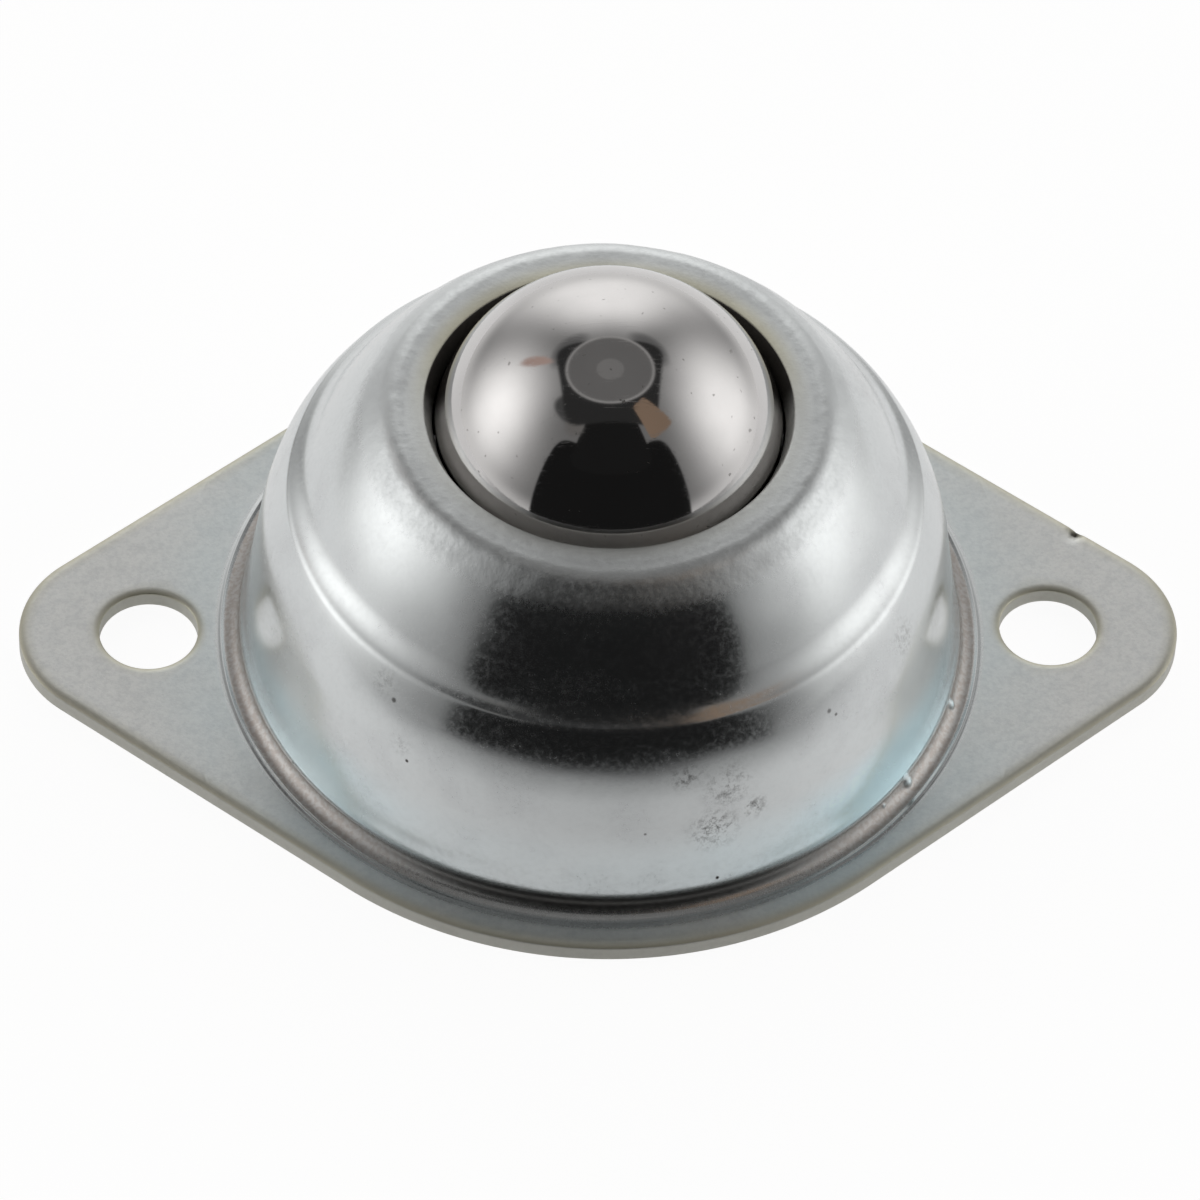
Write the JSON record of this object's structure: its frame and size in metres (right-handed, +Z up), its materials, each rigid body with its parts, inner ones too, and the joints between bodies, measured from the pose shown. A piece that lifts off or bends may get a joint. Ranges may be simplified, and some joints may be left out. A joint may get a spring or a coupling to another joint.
{
  "type": "ball transfer unit",
  "caption": "Flange-mounted ball transfer unit: polished load ball held by the turned-in lip of a stepped, zinc-plated pressed housing on a rhombic flange with bolt holes.",
  "frame": {"origin": "centre of the flange's underside, on the axis of the load ball", "axes": "+Z up through the load ball, +X along the line of the two bolt holes"},
  "size_m": [0.074, 0.052, 0.03],
  "materials": {
    "zinc_plated_steel": "bright zinc plate, satin, with a faint blue and straw tint",
    "hardened_steel": "hardened and tempered, smooth grey",
    "polished_ball_steel": "mirror-polished bearing steel",
    "support_ball_steel": "ground and polished bearing steel"
  },
  "bodies": {
    "base": {"housing": "zinc_plated_steel", "bottom_cover": "zinc_plated_steel", "race_cup": "hardened_steel"},
    "ball_bed": {"support_balls_row_1": "support_ball_steel", "support_balls_row_2": "support_ball_steel", "support_balls_row_3": "support_ball_steel", "support_balls_row_4": "support_ball_steel", "support_balls_row_5": "support_ball_steel", "support_balls_row_6": "support_ball_steel", "support_balls_row_7": "support_ball_steel"},
    "ball": {"load_ball": "polished_ball_steel"}
  },
  "joints": [
    {"name": "ball_swivel", "type": "hinge", "parent": "base", "child": "ball_bed", "pos_m": [0, 0, 0.0189], "axis": [0, 0, 1], "continuous": true},
    {"name": "ball_roll", "type": "hinge", "parent": "ball_bed", "child": "ball", "pos_m": [0, 0, 0.0189], "axis": [1, 0, 0], "continuous": true}
  ]
}
